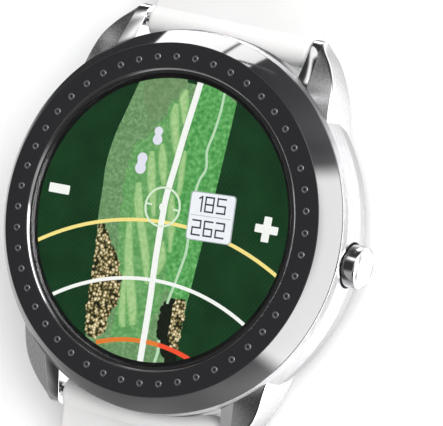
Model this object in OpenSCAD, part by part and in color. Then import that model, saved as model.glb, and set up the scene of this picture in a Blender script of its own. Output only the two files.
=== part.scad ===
// Golf GPS watch, lying on its case back with both strap halves laid open.
// Millimetres. X points to 3 o'clock, Y to 12 o'clock, Z out of the display.
// The origin is the centre of the case back, on the face that rests on a table.

/* [Case] */
// Height of the flat bezel ring above the case back's face
case_h = 12.8; // [12.8:0.1:13.4]
// Radius of the mid case
case_r = 22.6; // [22.5:0.1:23.0]
// Radius of the room inside the mid case
cavity_r = 18.6; // [18.5:0.05:18.7]
// Distance between the two lugs of a pair
lug_gap = 22.3; // [22.2:0.1:22.6]

/* [Bezel and display] */
// Outer radius of the bezel, at the foot of its cone
bezel_r = 22.38; // [22.3:0.02:22.4]
// Outer radius of the bezel's flat ring
flat_r = 20.58; // [20.4:0.02:20.7]
// Number of pips around the bezel
pip_count = 48; // [24:12:60]
// Radius of the circle that the pips stand on
pip_ring_r = 19; // [18.9:0.05:19.2]
// Radius of one pip
pip_r = 0.42; // [0.3:0.01:0.45]
// Radius of the crystal
crystal_r = 17.1; // [17.0:0.05:17.15]
// Radius of the display panel
panel_r = 16.6; // [16.4:0.1:16.7]

/* [Button] */
// Height of the button's axis
button_z = 6.9; // [6.7:0.1:7.0]
// Radius of the button's head
button_r = 2.5; // [2.3:0.1:2.5]
// How far the button travels
button_travel = 0.45; // [0.3:0.05:0.5]

/* [Strap] */
// Width of the strap between the lugs
strap_w = 21.7; // [21.4:0.1:21.7]
// Width of the strap beyond its taper
tail_w = 20; // [19.6:0.1:20]
// Thickness of the strap
strap_t = 2.4; // [2.2:0.1:2.4]
// Distance of each spring bar from the watch's centre
bar_y = 22.7; // [22.6:0.05:22.8]
// Height of each spring bar
bar_z = 4.9; // [4.8:0.05:5.0]
// Length of the buckle half, from spring bar to buckle bar
short_l = 66; // [62:1:72]
// Length of the holed half, from spring bar to tip
long_l = 118; // [116:1:126]
// Number of holes in the holed half
hole_count = 10; // [6:1:10]
// Distance between two strap holes
hole_step = 6; // [5.5:0.5:6]

/* [Hidden] */
$fn = 64;

// Levels of the stack, from the case back up
foot_z = 1.9;               // mid case's lower face, on the case back's flange
back_floor_z = 1.2;         // inside face of the case back
battery_z = 1.6;
battery_h = 3.4;
board_z = 5.4;
board_t = 0.8;
board_top = board_z + board_t;
frame_z = 8.4;              // display frame's lower face
shelf_z = case_h - 3.5;     // underside of the mid case's shelf
rim_z = case_h - 2.85;      // mid case's outer rim, under the bezel
shelf_top = case_h - 1.95;  // seat of the bezel and of the trim ring
crystal_z = case_h - 0.82;  // underside of the crystal
crystal_top = case_h - 0.12;
panel_z = case_h - 2.9;
cone_z = case_h - 2.57;     // foot of the bezel's cone

shelf_r = 16.8;             // bore of the shelf around the display panel
step_r = 20.8;              // step that centres the bezel
trim_r = 17.64;             // outside of the trim ring
gap = 0.02;                 // standing gap between fitted faces

screw_ring_r = 19.62;
screw_angles = [45, 135, 225, 315];
contact_pitch = 2.6;
contact_y = -7;

pocket_r = 2.35;            // room around the strap's end
pin_r = 0.4;                // spring bar tips
pin_hole_r = 0.45;
lug_hole_depth = 1.25;
barrel_r = 0.9;
barrel_half = strap_w / 2 - 0.25;
pin_end = lug_gap / 2 + 1.05;
tube_r = 1.9;               // strap's rounded end around its bar
lever_x = 6.6;
lever_l = 2.1;
release_travel = 1.3;

settle_l = 16;              // length over which the strap settles to the table
taper_start = 6;
taper_end = 30;
short_z = 2.7;              // height of the buckle half's middle plane
long_z = strap_t / 2;       // height of the holed half's middle plane
end_tube_r = 1.7;           // strap's end around the buckle bar
buckle_y = bar_y + short_l;
keeper_w = 6;
fixed_keeper_y = buckle_y - 8.5;
free_keeper_y = fixed_keeper_y - 10;
keeper_play = 0.3;
keeper_wall = 1.3;
first_hole = 48;
hole_r = 1.15;

arm_in = tail_w / 2 + 0.6;  // buckle's arms, from the centre to their inside
arm_w = 1.7;
arm_out = arm_in + arm_w;
buckle_t = 2.2;
buckle_l = 11;
buckle_corner = 3;
front_bar = 2.6;
tongue_w = 2;

// ---- Case ----

// Points of one lug, for the lug at positive X and Y.
lug_in = lug_gap / 2;
lug_points = [
    // inner face
    [lug_in, 13.5, 2.3], [lug_in, 18, 2.6], [lug_in, 23.4, 3.0], [lug_in, 24.5, 3.9],
    [lug_in, 24.75, 4.9], [lug_in, 24.3, 6.3], [lug_in, 20.6, 7.8], [lug_in, 17.6, 9.2],
    [lug_in, 13.5, 9.4],
    // ridge along the top, down to the tip
    [13.5, 13.5, 9.85], [13.1, 17, 9.85], [12.94, 18.92, 8.93], [12.3, 24.3, 6.5],
    [12.3, 24.7, 5.1], [12.1, 24.5, 3.9],
    // outer edge of the bevel
    [17, 13.5, 9.4], [16.5, 16, 9.2], [15.9, 19.25, 8.3], [14.6, 21.5, 7.6],
    [13.4, 23, 7.0], [12.6, 23.8, 6.5],
    // lower outer edge
    [16.8, 13.5, 2.3], [16.2, 16.2, 2.5], [15.3, 19.2, 2.7], [13.8, 21.8, 2.9],
    [12, 23.4, 3.0]];

module lug() {
    hull()
        for (p = lug_points)
            translate(p) sphere(r = 0.06, $fn = 4);
}

module mirrored_y() {
    children();
    mirror([0, 1, 0]) children();
}

module four_corners() {
    mirrored_y() {
        children();
        mirror([1, 0, 0]) children();
    }
}

// A rod along X from x0 to x1.
module rod_x(x0, x1, r) {
    translate([x0, 0, 0]) rotate([0, 90, 0]) cylinder(h = x1 - x0, r = r);
}

module ring(r_in, r_out, z0, z1) {
    rotate_extrude()
        polygon([[r_in, z0], [r_out, z0], [r_out, z1], [r_in, z1]]);
}

module at_screws() {
    for (a = screw_angles)
        rotate(a) translate([screw_ring_r, 0, 0]) children();
}

module case_outside() {
    rotate_extrude()
        polygon([[0, foot_z], [case_r - 1.4, foot_z], [case_r - 0.4, 3.6], [case_r, 6],
            [case_r, rim_z - 0.7], [case_r - 0.25, rim_z], [step_r, rim_z],
            [step_r, shelf_top], [0, shelf_top]]);
    four_corners() lug();
}

// Room between a pair of lugs for the strap's end and its swing.
module strap_pocket() {
    translate([0, bar_y, bar_z]) rod_x(-lug_in, lug_in, pocket_r);
    translate([-lug_in, bar_y - pocket_r, -1])
        cube([lug_gap, 2 * pocket_r, bar_z + 1]);
}

module mid_case() {
    color("silver")
    difference() {
        case_outside();
        translate([0, 0, -1]) cylinder(h = shelf_z + 1, r = cavity_r);
        cylinder(h = case_h, r = shelf_r);
        mirrored_y() {
            strap_pocket();
            translate([0, bar_y, bar_z])
                rod_x(-lug_in - lug_hole_depth, lug_in + lug_hole_depth, pin_hole_r);
        }
        at_screws() translate([0, 0, foot_z - 1]) cylinder(h = 3.5, r = 0.52);
        translate([0, 0, button_z]) {
            rod_x(cavity_r - 1, case_r + 1, 1.15);
            rod_x(case_r - 1.8, case_r + 1, button_r + 0.22);
        }
    }
}

module at_pips() {
    for (i = [0 : pip_count - 1])
        rotate(90 + i * 360 / pip_count) translate([pip_ring_r, 0, 0]) children();
}

module bezel() {
    color("#2b2d33")
    difference() {
        rotate_extrude()
            polygon([[trim_r + gap, shelf_top + gap], [trim_r + gap, case_h - 0.04],
                [trim_r + 0.06, case_h], [flat_r - 0.06, case_h], [flat_r + 0.03, case_h - 0.04],
                [bezel_r, cone_z], [bezel_r, rim_z + gap], [step_r + 0.04, rim_z + gap],
                [step_r + 0.04, shelf_top + gap]]);
        at_pips() translate([0, 0, case_h - 0.5]) cylinder(h = 1, r = pip_r + 0.01);
    }
}

module bezel_pips() {
    color("lightgray")
    at_pips()
        difference() {
            intersection() {
                translate([0, 0, case_h - 0.5]) cylinder(h = 0.62, r = pip_r);
                translate([0, 0, case_h - 0.95]) sphere(r = 1.06);
            }
            translate([0, 0, case_h + 0.27]) sphere(r = 0.3);
        }
}

module trim_ring() {
    color("gainsboro")
    rotate_extrude()
        polygon([[shelf_r + 0.05, shelf_top], [trim_r, shelf_top], [trim_r, case_h - 0.02],
            [trim_r - 0.06, case_h], [17.24, case_h - 0.32], [17.24, crystal_z - 0.02],
            [shelf_r + 0.05, crystal_z - 0.02]]);
}

module crystal_gasket() {
    color("#101010")
    ring(crystal_r + 0.01, 17.23, crystal_z - 0.01, crystal_top - 0.25);
}

module crystal() {
    color("#202428", 0.35)
    rotate_extrude()
        polygon([[0, crystal_z], [crystal_r, crystal_z], [crystal_r, crystal_top - 0.12],
            [crystal_r - 0.12, crystal_top], [0, crystal_top]]);
}

// ---- Inside the case ----

module display_panel() {
    color("darkgreen")
    translate([0, 0, panel_z]) cylinder(h = crystal_z - panel_z - gap, r = panel_r);
}

// Carrier under the display, with a slot for the display's flex.
module display_frame() {
    color("dimgray")
    difference() {
        union() {
            translate([0, 0, frame_z]) cylinder(h = shelf_z - frame_z - gap, r = 18.4);
            translate([0, 0, frame_z]) cylinder(h = panel_z - frame_z - gap, r = 16.5);
        }
        translate([0, 0, frame_z - 1]) cylinder(h = 1.5, r = 13);
        translate([-4.5, -17.5, frame_z - 1]) cube([9, 1.6, 5]);
    }
}

module display_flex() {
    color("darkorange")
    translate([-4, -16.2, board_top])
        cube([8, 0.25, panel_z - board_top]);
}

module main_board() {
    color("seagreen")
    difference() {
        translate([0, 0, board_z]) cylinder(h = board_t, r = 17.9);
        for (a = [60, 180, 300])
            rotate(a) translate([17.9, 0, board_z - 1]) cylinder(h = 3, r = 1.6);
        translate([switch_x, -2, board_z - 1]) cube([2, 4, 3]);
    }
}

module shield_cans() {
    color("silver")
    for (x = [-12.5, 1.5])
        translate([x, -9.5, board_top]) cube([11, 12, 1.4]);
}

module gps_antenna() {
    color("khaki")
    translate([-5, 4.5, board_top]) cube([10, 10, 2]);
}

module battery() {
    color("slategray")
    translate([-9.3, -11.2, battery_z]) cube([21.5, 22.4, battery_h]);
}

module battery_pad() {
    color("black")
    translate([-8, -10, battery_z + battery_h])
        cube([19, 20, board_z - battery_z - battery_h]);
}

module vibration_motor() {
    color("lightgray")
    translate([-13.8, 0, board_z - 2.7]) cylinder(h = 2.7, r = 4);
}

module button_switch() {
    color("black")
    translate([switch_x - 2.6, -2.2, board_top]) cube([2.6, 4.4, 1.5]);
}

// ---- Button ----

switch_x = 17.2;            // face of the switch that the stem pushes
button_in = switch_x + button_travel + 0.1;
head_x = case_r - 0.5;      // underside of the head
clip_x = 17.95;
seal_x = 19.7;

module button() {
    color("silver")
    translate([0, 0, button_z])
    difference() {
        union() {
            rod_x(button_in, head_x + 1, 1.1);
            intersection() {
                rod_x(head_x, head_x + 3, button_r);
                translate([head_x - 8, 0, 0]) sphere(r = 10.4);
            }
        }
        difference() {
            rod_x(clip_x, clip_x + 0.35, 2);
            rod_x(clip_x - 1, clip_x + 1, 0.8);
        }
        difference() {
            rod_x(seal_x - 0.25, seal_x + 0.25, 2);
            rod_x(seal_x - 1, seal_x + 1, 0.75);
        }
    }
}

module button_seal() {
    color("black")
    translate([seal_x, 0, button_z]) rotate([0, 90, 0])
        rotate_extrude() translate([0.94, 0]) circle(r = 0.18);
}

module button_clip() {
    color("gray")
    translate([clip_x + 0.02, 0, button_z]) rotate([0, 90, 0])
        difference() {
            cylinder(h = 0.3, r = 1.4);
            translate([0, 0, -1]) cylinder(h = 3, r = 0.82);
            translate([0, -0.7, -1]) cube([3, 1.4, 3]);
        }
}

// A coil spring along Z, as a closed tube swept along a helix.
module coil(r, wire_r, length, turns, steps, sides) {
    rings = turns * steps;
    function at(i) = let (a = 360 * i / steps)
        [r * cos(a), r * sin(a), wire_r + (length - 2 * wire_r) * i / rings];
    points = [for (i = [0 : rings], s = [0 : sides - 1])
        let (a = 360 * i / steps, b = 360 * s / sides)
        at(i) + wire_r * [cos(a) * cos(b), sin(a) * cos(b), sin(b)]];
    walls = [for (i = [0 : rings - 1], s = [0 : sides - 1])
        let (n = (s + 1) % sides)
        [i * sides + s, i * sides + n, (i + 1) * sides + n, (i + 1) * sides + s]];
    ends = [[for (s = [sides - 1 : -1 : 0]) s], [for (s = [0 : sides - 1]) rings * sides + s]];
    polyhedron(points, concat(walls, ends), convexity = 8);
}

module button_spring() {
    color("silver")
    translate([case_r - 1.8 + gap, 0, button_z]) rotate([0, 90, 0])
        coil(1.75, 0.15, 1.3 - 2 * gap, 3, 18, 8);
}

// ---- Case back ----

module case_back() {
    color("#26282c")
    difference() {
        rotate_extrude()
            polygon([[0, 0], [17.5, 0], [20.4, 0.9], [20.4, foot_z - gap],
                [17.85, foot_z - gap], [17.85, 2.4], [17, 2.4], [17, back_floor_z],
                [0, back_floor_z]]);
        at_screws() {
            translate([0, 0, -1]) cylinder(h = 2.1, r = 1);
            cylinder(h = 3, r = 0.55);
        }
        at_contacts() translate([0, 0, -1]) cylinder(h = 3, r = 0.9);
    }
}

module case_back_gasket() {
    color("black")
    rotate_extrude() translate([18.22, foot_z + 0.32]) circle(r = 0.32);
}

module case_back_screws() {
    color("silver")
    at_screws()
        difference() {
            union() {
                translate([0, 0, 0.7]) cylinder(h = 0.4, r = 0.92);
                translate([0, 0, 0.9]) cylinder(h = 3.2, r = 0.5);
            }
            for (a = [0, 90])
                rotate(a) translate([-0.55, -0.12, 0]) cube([1.1, 0.24, 0.95]);
        }
}

module at_contacts() {
    for (i = [-1.5 : 1.5])
        translate([i * contact_pitch, contact_y, 0]) children();
}

module charge_contacts() {
    color("gold")
    at_contacts() translate([0, 0, 0.15]) cylinder(h = 1.35, r = 0.88);
}

// ---- Spring bars ----

// Barrel with one fixed tip; the other end is bored for the release pin.
module spring_bar() {
    color("lightgray")
    translate([0, bar_y, bar_z])
    difference() {
        union() {
            rod_x(-barrel_half, barrel_half - 0.2, barrel_r);
            rod_x(-pin_end, 0.1 - barrel_half, pin_r);
        }
        rod_x(2.8, barrel_half + 0.4, pin_r + 0.04);
        translate([lever_x - 0.75 - release_travel, -0.75, -2])
            cube([release_travel + 1.5, 1.5, 2]);
    }
}

module release_pin() {
    color("silver")
    translate([0, bar_y, bar_z]) {
        rod_x(lever_x - 0.7, pin_end, pin_r);
        translate([lever_x, 0, -lever_l]) cylinder(h = lever_l, r = 0.65);
    }
}

module release_spring() {
    color("silver")
    translate([2.8, bar_y, bar_z]) rotate([0, 90, 0])
        coil(0.28, 0.09, lever_x - 0.7 - 2.8, 7, 12, 6);
}

module spring_bar_12() spring_bar();
module spring_bar_6() mirror([0, 1, 0]) spring_bar();
module release_pin_12() release_pin();
module release_pin_6() mirror([0, 1, 0]) release_pin();
module release_spring_12() release_spring();
module release_spring_6() mirror([0, 1, 0]) release_spring();

// ---- Strap ----

// Height of the strap's middle plane at distance u from the spring bar.
function strap_mid(u, z_end) =
    z_end + (bar_z - z_end) * (1 + cos(180 * min(u / settle_l, 1))) / 2;

// Side outline of a strap half of length l, in (u, z).
function side_outline(l, z_end, half_t) = concat(
    [for (i = [0 : 12]) let (u = settle_l * i / 12) [u, strap_mid(u, z_end) - half_t]],
    [[l, z_end - half_t], [l, z_end + half_t]],
    [for (i = [12 : -1 : 0]) let (u = settle_l * i / 12) [u, strap_mid(u, z_end) + half_t]]);

// Plan outline of a strap half, in (x, u), square at its far end.
function plan_outline(l) = [
    [-strap_w / 2, -3], [strap_w / 2, -3], [strap_w / 2, taper_start], [tail_w / 2, taper_end],
    [tail_w / 2, l], [-tail_w / 2, l], [-tail_w / 2, taper_end], [-strap_w / 2, taper_start]];

// Band of a strap half, at positive Y, cut to the plan outline given as its child.
module strap_band(l, z_end) {
    intersection() {
        translate([-15, bar_y, 0]) rotate([90, 0, 90])
            linear_extrude(30) polygon(side_outline(l, z_end, strap_t / 2));
        translate([0, bar_y, -2]) linear_extrude(20) children();
    }
}

module bar_tube() {
    translate([0, bar_y, bar_z]) rod_x(-strap_w / 2, strap_w / 2, tube_r);
}

// Room for the spring bar and for the release lever.
module bar_room() {
    translate([0, bar_y, bar_z]) rod_x(-15, 15, barrel_r + 0.03);
    translate([lever_x - 0.95 - release_travel, bar_y - 0.95, 0])
        cube([release_travel + 1.9, 1.9, bar_z]);
}

module strap_12() {
    color("white")
    difference() {
        union() {
            bar_tube();
            strap_band(short_l, short_z) polygon(plan_outline(short_l));
            translate([0, buckle_y, short_z]) rod_x(-tail_w / 2, tail_w / 2, end_tube_r);
        }
        bar_room();
        translate([0, buckle_y, short_z]) rod_x(-15, 15, 0.8);
        translate([-1.35, buckle_y - 2.6, 0]) cube([2.7, 6, 6]);
    }
}

module strap_6() {
    color("white")
    mirror([0, 1, 0])
    difference() {
        union() {
            bar_tube();
            strap_band(long_l, long_z) union() {
                polygon(plan_outline(long_l - tail_w / 2));
                translate([0, long_l - tail_w / 2]) circle(r = tail_w / 2);
            }
        }
        bar_room();
        for (i = [0 : hole_count - 1])
            translate([0, bar_y + first_hole + i * hole_step, -1]) cylinder(h = 6, r = hole_r);
    }
}

// A loop around the strap: its opening runs from z0 to z1 inside walls.
module keeper(y, z0, z1, play, floor_t) {
    half_in = tail_w / 2 + play;
    translate([0, y + keeper_w / 2, 0]) rotate([90, 0, 0])
        linear_extrude(keeper_w) difference() {
            rounded_box(half_in + keeper_wall, z0 - floor_t, z1 + keeper_wall, 1.4);
            rounded_box(half_in, z0, z1, 0.15);
        }
}

// A box outline with round corners, from -half_x to half_x and from z0 to z1.
module rounded_box(half_x, z0, z1, r) {
    translate([-half_x + r, z0]) square([2 * (half_x - r), z1 - z0]);
    translate([-half_x, z0 + r]) square([2 * half_x, z1 - z0 - 2 * r]);
    for (x = [-half_x + r, half_x - r], z = [z0 + r, z1 - r])
        translate([x, z]) circle(r = r);
}

strap_low = short_z - strap_t / 2;
loop_top = short_z + 1.5 * strap_t + 0.4;

module keeper_fixed() {
    color("white")
    keeper(fixed_keeper_y, strap_low, loop_top, 0.2, strap_low);
}

module keeper_free() {
    color("white")
    keeper(free_keeper_y, strap_low - keeper_play, loop_top, keeper_play,
        strap_low - keeper_play);
}

// ---- Buckle ----

module buckle_bar() {
    color("lightgray")
    translate([0, buckle_y, short_z]) {
        rod_x(-arm_in + 0.3, arm_in - 0.3, 0.75);
        rod_x(-arm_in - 1.1, arm_in + 1.1, pin_r);
    }
}

module buckle_frame() {
    color("silver")
    translate([0, buckle_y, short_z])
    difference() {
        translate([0, 0, -buckle_t / 2]) linear_extrude(buckle_t) difference() {
            union() {
                for (s = [-1, 1]) {
                    translate([s * (arm_in + arm_w / 2), 0]) circle(r = arm_w / 2);
                    translate([s * (arm_out - buckle_corner), buckle_l - buckle_corner])
                        circle(r = buckle_corner);
                }
                translate([-arm_out, 0]) square([2 * arm_out, buckle_l - buckle_corner]);
                translate([buckle_corner - arm_out, 0])
                    square([2 * (arm_out - buckle_corner), buckle_l]);
            }
            translate([-arm_in, -3]) square([2 * arm_in, buckle_l - front_bar + 3]);
        }
        rod_x(-arm_in - 1.2, arm_in + 1.2, pin_hole_r);
        translate([-tongue_w / 2 - 0.15, 0, buckle_t / 2 - 0.5]) cube([tongue_w + 0.3, 20, 2]);
    }
}

module buckle_tongue() {
    color("lightgray")
    translate([0, buckle_y, short_z])
    difference() {
        union() {
            rod_x(-tongue_w / 2, tongue_w / 2, 1.45);
            translate([-tongue_w / 2, 0, 0]) rotate([90, 0, 90])
                linear_extrude(tongue_w)
                    polygon([[0, 0.2], [2, 0.2], [8, 0.65], [buckle_l - 0.1, 0.65],
                        [buckle_l - 0.1, 1.3], [8, 1.85], [0, 1.45]]);
        }
        rod_x(-2, 2, 0.8);
    }
}

mid_case();
bezel();
bezel_pips();
trim_ring();
crystal();
crystal_gasket();
display_panel();
display_frame();
display_flex();
main_board();
shield_cans();
gps_antenna();
battery();
battery_pad();
vibration_motor();
button_switch();
button();
button_spring();
button_seal();
button_clip();
case_back();
case_back_gasket();
case_back_screws();
charge_contacts();
spring_bar_12();
spring_bar_6();
release_pin_12();
release_pin_6();
release_spring_12();
release_spring_6();
strap_12();
strap_6();
keeper_fixed();
keeper_free();
buckle_bar();
buckle_frame();
buckle_tongue();
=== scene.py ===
"""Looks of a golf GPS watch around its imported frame. Shapes are given in millimetres."""
import math
import random

import bmesh
import bpy
from mathutils import Matrix, Vector


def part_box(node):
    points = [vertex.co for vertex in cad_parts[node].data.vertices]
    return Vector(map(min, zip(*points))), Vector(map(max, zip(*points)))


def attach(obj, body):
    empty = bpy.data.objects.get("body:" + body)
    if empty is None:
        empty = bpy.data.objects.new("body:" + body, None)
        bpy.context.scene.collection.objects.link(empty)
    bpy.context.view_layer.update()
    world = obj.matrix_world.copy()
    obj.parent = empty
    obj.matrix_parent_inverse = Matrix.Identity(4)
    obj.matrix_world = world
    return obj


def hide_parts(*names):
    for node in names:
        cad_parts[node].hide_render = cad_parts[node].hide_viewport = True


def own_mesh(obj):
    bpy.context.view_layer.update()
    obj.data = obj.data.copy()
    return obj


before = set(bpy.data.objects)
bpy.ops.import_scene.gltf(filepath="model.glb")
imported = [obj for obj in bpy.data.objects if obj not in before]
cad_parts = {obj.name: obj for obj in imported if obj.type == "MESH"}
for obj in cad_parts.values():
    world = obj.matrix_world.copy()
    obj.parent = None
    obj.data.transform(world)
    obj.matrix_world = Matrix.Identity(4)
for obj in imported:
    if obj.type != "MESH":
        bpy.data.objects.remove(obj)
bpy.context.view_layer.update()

MM = 0.001


def corner(node, which):
    """A CAD node's lowest (0) or highest (1) corner, in millimetres."""
    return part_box(node)[which] / MM


# ---- Driving sizes, taken from the frame ----

FACE_Z = corner("bezel", 1).z
BEZEL_R = corner("bezel", 1).x
BEZEL_LOW = corner("bezel", 0).z
CASE_R = 22.6
CASE_IN = 18.6
GLASS_TOP = corner("crystal", 1).z
GLASS_LOW = corner("crystal", 0).z
GLASS_R = corner("crystal", 1).x
TRIM_R = corner("trim_ring", 1).x
TRIM_LOW = corner("trim_ring", 0).z
TRIM_IN = 16.85
TRIM_WALL = 0.28
BUTTON_TIP = corner("button", 1).x
BUTTON_Z = (corner("button", 0).z + corner("button", 1).z) / 2
BUTTON_R = corner("button", 1).z - BUTTON_Z
PANEL_R = corner("display_panel", 1).x
PANEL_LOW = corner("display_panel", 0).z
LUG_IN = 11.15
BAR_Y = 22.7
BAR_Z = 4.9
STRAP_T = 2.4
STRAP_W = corner("strap_12", 1).x * 2
TAIL_W = 20.0
SHORT_Z = 2.7
LONG_Z = STRAP_T / 2
BUCKLE_Y = (corner("buckle_bar", 0).y + corner("buckle_bar", 1).y) / 2
SHORT_L = BUCKLE_Y - BAR_Y
LONG_L = -corner("strap_6", 0).y - BAR_Y
LOOP_L = 11
LOOP_HALF_X = 0.85
LOOP_HALF_Z = 1.1

FLAT_R = 20.58
CONE_Z = FACE_Z - 2.57
PIP_R = 0.42
PIP_RING_R = 19.0
PIP_COUNT = 48
SCREEN_R = 16.5


# ---- Materials ----

def srgb(red, green, blue):
    """A display colour, 0 to 255, as a linear colour."""
    def linear(value):
        value /= 255
        return value / 12.92 if value <= 0.04045 else ((value + 0.055) / 1.055) ** 2.4
    return (linear(red), linear(green), linear(blue), 1)


WAVE_SCALE = 0.314


class Surface:
    """A node material: a Principled shader, with short ways to add texture to it."""

    def __init__(self, name, **sockets):
        self.material = bpy.data.materials.new(name)
        self.material.use_nodes = True
        self.tree = self.material.node_tree
        self.shader = self.tree.nodes["Principled BSDF"]
        self.bump_out = None
        for socket, value in sockets.items():
            self.shader.inputs[socket.replace("_", " ")].default_value = value

    def node(self, kind, **inputs):
        made = self.tree.nodes.new(kind)
        for socket, value in inputs.items():
            made.inputs[socket.replace("_", " ")].default_value = value
        return made

    def link(self, source, target):
        self.tree.links.new(source, target)

    def coordinates(self, stretch=(1, 1, 1), turn=0.0):
        """Object coordinates, stretched so that a texture has a grain."""
        place = self.node("ShaderNodeTexCoord")
        mapping = self.node("ShaderNodeMapping")
        mapping.inputs["Scale"].default_value = stretch
        mapping.inputs["Rotation"].default_value = (0, 0, turn)
        self.link(place.outputs["Object"], mapping.inputs["Vector"])
        return mapping.outputs["Vector"]

    def noise(self, size_mm, stretch=(1, 1, 1), detail=2.0):
        """Noise whose features are about size_mm across."""
        made = self.node("ShaderNodeTexNoise", Scale=1 / (size_mm * MM), Detail=detail)
        self.link(self.coordinates(stretch), made.inputs["Vector"])
        return made.outputs["Fac"]

    def voronoi(self, size_mm):
        """Cells about size_mm across."""
        made = self.node("ShaderNodeTexVoronoi", Scale=1 / (size_mm * MM))
        self.link(self.coordinates(), made.inputs["Vector"])
        return made

    def wave(self, size_mm, turn, distortion):
        """Parallel bands size_mm apart, along Y before they are turned."""
        made = self.node("ShaderNodeTexWave", Scale=WAVE_SCALE / (size_mm * MM), Distortion=distortion)
        self.link(self.coordinates(turn=turn), made.inputs["Vector"])
        return made.outputs["Fac"]

    def ramp(self, factor, stops):
        """Colours picked by factor; stops are (position, colour)."""
        made = self.node("ShaderNodeValToRGB")
        elements = made.color_ramp.elements
        while len(elements) < len(stops):
            elements.new(0.5)
        for element, (position, colour) in zip(elements, stops):
            element.position = position
            element.color = colour
        self.link(factor, made.inputs["Fac"])
        return made.outputs["Color"]

    def spread(self, factor, low, high):
        """factor, from 0 to 1, as a value from low to high."""
        made = self.node("ShaderNodeMapRange", To_Min=low, To_Max=high)
        self.link(factor, made.inputs["Value"])
        return made.outputs["Result"]

    def sum(self, first, second):
        made = self.node("ShaderNodeMath")
        self.link(first, made.inputs[0])
        self.link(second, made.inputs[1])
        return made.outputs[0]

    def mottle(self, factor, dark, light, start=0.3, end=0.7):
        """Base colour from dark to light as factor goes from start to end."""
        return self.colour(self.ramp(factor, [(start, dark), (end, light)]))

    def rough(self, factor, low, high):
        """Roughness from low to high by factor."""
        self.link(self.spread(factor, low, high), self.shader.inputs["Roughness"])
        return self

    def colour(self, output, socket="Base Color"):
        """Feeds a colour to a socket of the shader."""
        self.link(output, self.shader.inputs[socket])
        return self

    def bump(self, factor, depth_mm):
        """Relief by factor, on top of any relief added before."""
        made = self.node("ShaderNodeBump", Distance=depth_mm * MM)
        self.link(factor, made.inputs["Height"])
        if self.bump_out:
            self.link(self.bump_out, made.inputs["Normal"])
        self.bump_out = made.outputs["Normal"]
        self.link(self.bump_out, self.shader.inputs["Normal"])
        return self


def black_ceramic():
    s = Surface("black_ceramic", Base_Color=(0.019, 0.0192, 0.021, 1), IOR=1.9)
    s.rough(s.noise(3, detail=4), 0.03, 0.07)
    s.bump(s.noise(0.12, detail=1), 0.0006)
    return s.material


def polished_steel():
    s = Surface("polished_steel", Metallic=1)
    s.mottle(s.noise(4), (0.66, 0.66, 0.67, 1), (0.74, 0.74, 0.745, 1))
    s.rough(s.noise(0.8, detail=5), 0.04, 0.10)
    return s.material


def pip_steel():
    s = Surface("pip_steel", Metallic=1)
    s.mottle(s.noise(0.5), (0.50, 0.50, 0.51, 1), (0.60, 0.60, 0.61, 1))
    s.rough(s.noise(0.3, detail=3), 0.14, 0.22)
    return s.material


def brushed_steel(name, stretch):
    """Steel with fine brush lines; the stretch is small along the lines."""
    s = Surface(name, Metallic=1)
    lines = s.noise(0.11, stretch, detail=5)
    s.mottle(lines, (0.46, 0.46, 0.47, 1), (0.66, 0.66, 0.67, 1), 0.25, 0.75)
    s.rough(lines, 0.17, 0.30)
    s.bump(lines, 0.004)
    return s.material


def silicone():
    s = Surface("white_silicone", IOR=1.42, Subsurface_Weight=0.08, Subsurface_Scale=0.0012)
    s.mottle(s.noise(14, detail=3), (0.75, 0.75, 0.74, 1), (0.80, 0.80, 0.795, 1))
    s.rough(s.noise(6, detail=4), 0.46, 0.58)
    s.bump(s.noise(0.16, detail=2), 0.006)
    s.bump(s.noise(2.5, detail=2), 0.02)
    return s.material


def clear_glass():
    s = Surface("crystal_glass", Base_Color=(1, 1, 1, 1), Transmission_Weight=1, IOR=1.4)
    s.rough(s.noise(9, detail=2), 0.0, 0.012)
    return s.material


def black_print():
    s = Surface("black_print", Base_Color=(0.006, 0.006, 0.007, 1))
    s.rough(s.noise(0.4), 0.25, 0.35)
    return s.material


def seal_rubber():
    s = Surface("seal_rubber", Base_Color=(0.012, 0.012, 0.012, 1))
    s.rough(s.noise(0.3), 0.55, 0.7)
    return s.material


def back_polymer():
    s = Surface("back_polymer")
    s.mottle(s.noise(7, detail=3), (0.018, 0.019, 0.021, 1), (0.026, 0.027, 0.03, 1))
    s.rough(s.noise(1.2, detail=4), 0.42, 0.56)
    s.bump(s.voronoi(0.22).outputs["Distance"], 0.012)
    return s.material


def gold():
    s = Surface("contact_gold", Base_Color=(0.9, 0.62, 0.24, 1), Metallic=1)
    s.rough(s.noise(0.3, detail=3), 0.16, 0.3)
    return s.material


def plastic(name, dark, light, rough=(0.4, 0.55), grain=0.15):
    """Moulded plastic or a coated part, with a fine grain."""
    s = Surface(name)
    s.mottle(s.noise(1.5, detail=3), dark, light)
    s.rough(s.noise(0.6, detail=3), *rough)
    s.bump(s.noise(grain, detail=2), 0.004)
    return s.material


def lit(name, output_of):
    """A lit patch of the display; output_of(surface) gives its colour."""
    s = Surface(name, Base_Color=(0.003, 0.003, 0.003, 1), Roughness=0.5, Specular_IOR_Level=0.1,
                Emission_Strength=1)
    s.colour(output_of(s), "Emission Color")
    return s.material


def lit_noise(name, stops, size_mm):
    """A lit patch mottled with colours; stops are (position, colour)."""
    return lit(name, lambda s: s.ramp(s.noise(size_mm, detail=4), stops))


def turf(name, size_mm, *stops):
    """Mottled green ground; stops are (position, red, green, blue)."""
    return lit_noise("display_" + name, [(at, srgb(*rgb)) for at, *rgb in stops], size_mm)


def lit_plain(name, colour):
    """A flat lit colour with the faint unevenness of a lit panel."""
    dim = tuple(0.93 * c for c in colour[:3]) + (1,)
    return lit_noise(name, [(0.2, dim), (0.6, colour)], 0.35)


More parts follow.
